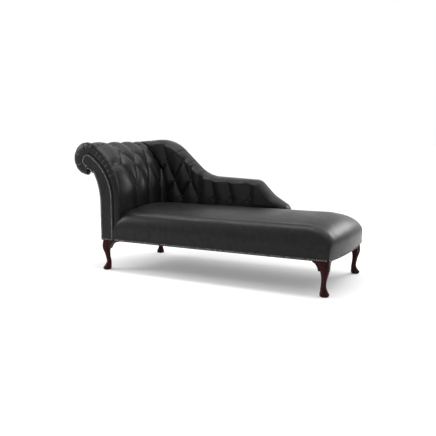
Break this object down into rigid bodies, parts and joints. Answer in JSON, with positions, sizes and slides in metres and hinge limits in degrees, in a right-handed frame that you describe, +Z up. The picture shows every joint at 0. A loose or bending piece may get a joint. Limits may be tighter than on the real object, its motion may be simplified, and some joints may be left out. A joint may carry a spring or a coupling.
{
  "type": "chaise longue",
  "caption": "Deep-buttoned leather chaise longue with a scrolled arm, a serpentine back falling to a low tail, a rounded sprung seat and cabriole legs.",
  "frame": {"origin": "on the floor under the middle of the bounding box", "axes": "+X towards the foot end along the seat, +Y towards the back, +Z up"},
  "size_m": [1.7821, 0.6894, 0.8369],
  "materials": {
    "black_leather": "semi-gloss",
    "beech": "sawn",
    "birch_ply": "sawn",
    "mahogany": "gloss lacquer",
    "hessian": "woven",
    "webbing": "woven",
    "black_cloth": "matte",
    "foam": "matte",
    "twine": "matte",
    "spring_steel": "oiled",
    "zinc_steel": "zinc plated",
    "antique_nail": "antique"
  },
  "bodies": {
    "root": {"arm_button_twines": "twine", "arm_buttons": "black_leather", "arm_foam": "foam", "arm_hessian": "hessian", "arm_lower_slat": "beech", "arm_middle_slat": "beech", "arm_roll_slat": "beech", "arm_webbing": "webbing", "back_button_twines": "twine", "back_buttons": "black_leather", "back_foam": "foam", "back_hessian": "hessian", "back_post_1": "beech", "back_post_2": "beech", "back_post_3": "beech", "back_rolled_edge": "black_leather", "back_seat_rail": "beech", "back_serpentine_rail": "birch_ply", "back_webbing": "webbing", "centre_bearer": "beech", "corner_block_screws": "zinc_steel", "corner_blocks": "beech", "dust_cover": "black_cloth", "facing_leather": "black_leather", "facing_panel": "birch_ply", "facing_piping": "black_leather", "facing_studs": "antique_nail", "foot_seat_rail": "beech", "frame_dowels": "beech", "front_foot_leg": "mahogany", "front_head_leg": "mahogany", "front_scroll_board": "birch_ply", "front_seat_rail": "beech", "head_seat_rail": "beech", "inside_arm_cover": "black_leather", "inside_back_cover": "black_leather", "knee_brackets": "mahogany", "leg_bolts": "zinc_steel", "leg_nuts": "zinc_steel", "leg_washers": "zinc_steel", "outside_arm_cover": "black_leather", "outside_back_cover": "black_leather", "pleated_scroll_band": "black_leather", "rear_foot_leg": "mahogany", "rear_head_leg": "mahogany", "rear_scroll_board": "birch_ply", "rear_scroll_edge": "black_leather", "rear_spring_batten": "beech", "seat_cover": "black_leather", "seat_foam": "foam", "seat_hessian": "hessian", "seat_rail_studs": "antique_nail", "seat_springs": "spring_steel", "spring_clips": "zinc_steel", "spring_tie_wires": "spring_steel"}
  },
  "joints": []
}
